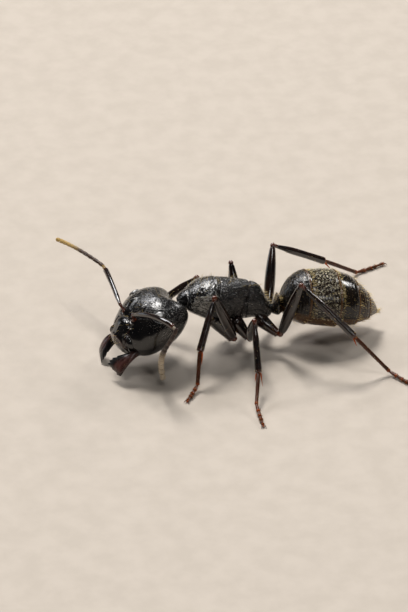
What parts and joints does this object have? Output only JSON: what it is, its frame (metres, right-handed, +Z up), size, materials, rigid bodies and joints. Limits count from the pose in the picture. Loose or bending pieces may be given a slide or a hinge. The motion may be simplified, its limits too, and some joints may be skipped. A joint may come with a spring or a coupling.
{
  "type": "carpenter ant",
  "caption": "Life-size still model of a black carpenter ant worker, standing on six feet with its head low and jaws half open, golden down on the abdomen.",
  "frame": {"origin": "on the floor, under the middle of the whole outline's box", "axes": "+Z up, head towards -Y, the ant's left side towards +X"},
  "size_m": [0.0142, 0.0158, 0.0041],
  "materials": {
    "shell": "satin black shell plate, fine net and pits",
    "eye": "gloss dark compound eye, fine facets",
    "jaw": "gloss dark red-brown, grooved",
    "feeler": "satin brown, golden to the tip, fine down",
    "gaster_plate": "satin black shell plate under golden down",
    "leg": "gloss black to dark red-brown",
    "foot": "satin red-brown",
    "down": "golden hair"
  },
  "bodies": {
    "root": {"pronotum": "shell", "mesothorax": "shell", "propodeum": "shell", "neck": "shell", "petiole": "shell", "gaster_plate_1": "gaster_plate", "gaster_plate_2": "gaster_plate", "gaster_plate_3": "gaster_plate", "gaster_plate_4": "gaster_plate", "gaster_plate_5": "gaster_plate", "head": "shell", "eye_l": "eye", "eye_r": "eye", "mandible_l": "jaw", "mandible_r": "jaw", "scape_l": "shell", "funiculus_base_l": "feeler", "funiculus_tip_l": "feeler", "scape_r": "shell", "funiculus_base_r": "feeler", "funiculus_tip_r": "feeler", "fore_leg_l_coxa": "leg", "fore_leg_l_femur": "leg", "fore_leg_l_tibia": "leg", "fore_leg_l_basitarsus": "foot", "fore_leg_l_tarsus": "foot", "fore_leg_r_coxa": "leg", "fore_leg_r_femur": "leg", "fore_leg_r_tibia": "leg", "fore_leg_r_basitarsus": "foot", "fore_leg_r_tarsus": "foot", "mid_leg_l_coxa": "leg", "mid_leg_l_femur": "leg", "mid_leg_l_tibia": "leg", "mid_leg_l_basitarsus": "foot", "mid_leg_l_tarsus": "foot", "mid_leg_r_coxa": "leg", "mid_leg_r_femur": "leg", "mid_leg_r_tibia": "leg", "mid_leg_r_basitarsus": "foot", "mid_leg_r_tarsus": "foot", "hind_leg_l_coxa": "leg", "hind_leg_l_femur": "leg", "hind_leg_l_tibia": "leg", "hind_leg_l_basitarsus": "foot", "hind_leg_l_tarsus": "foot", "hind_leg_r_coxa": "leg", "hind_leg_r_femur": "leg", "hind_leg_r_tibia": "leg", "hind_leg_r_basitarsus": "foot", "hind_leg_r_tarsus": "foot"}
  },
  "joints": []
}
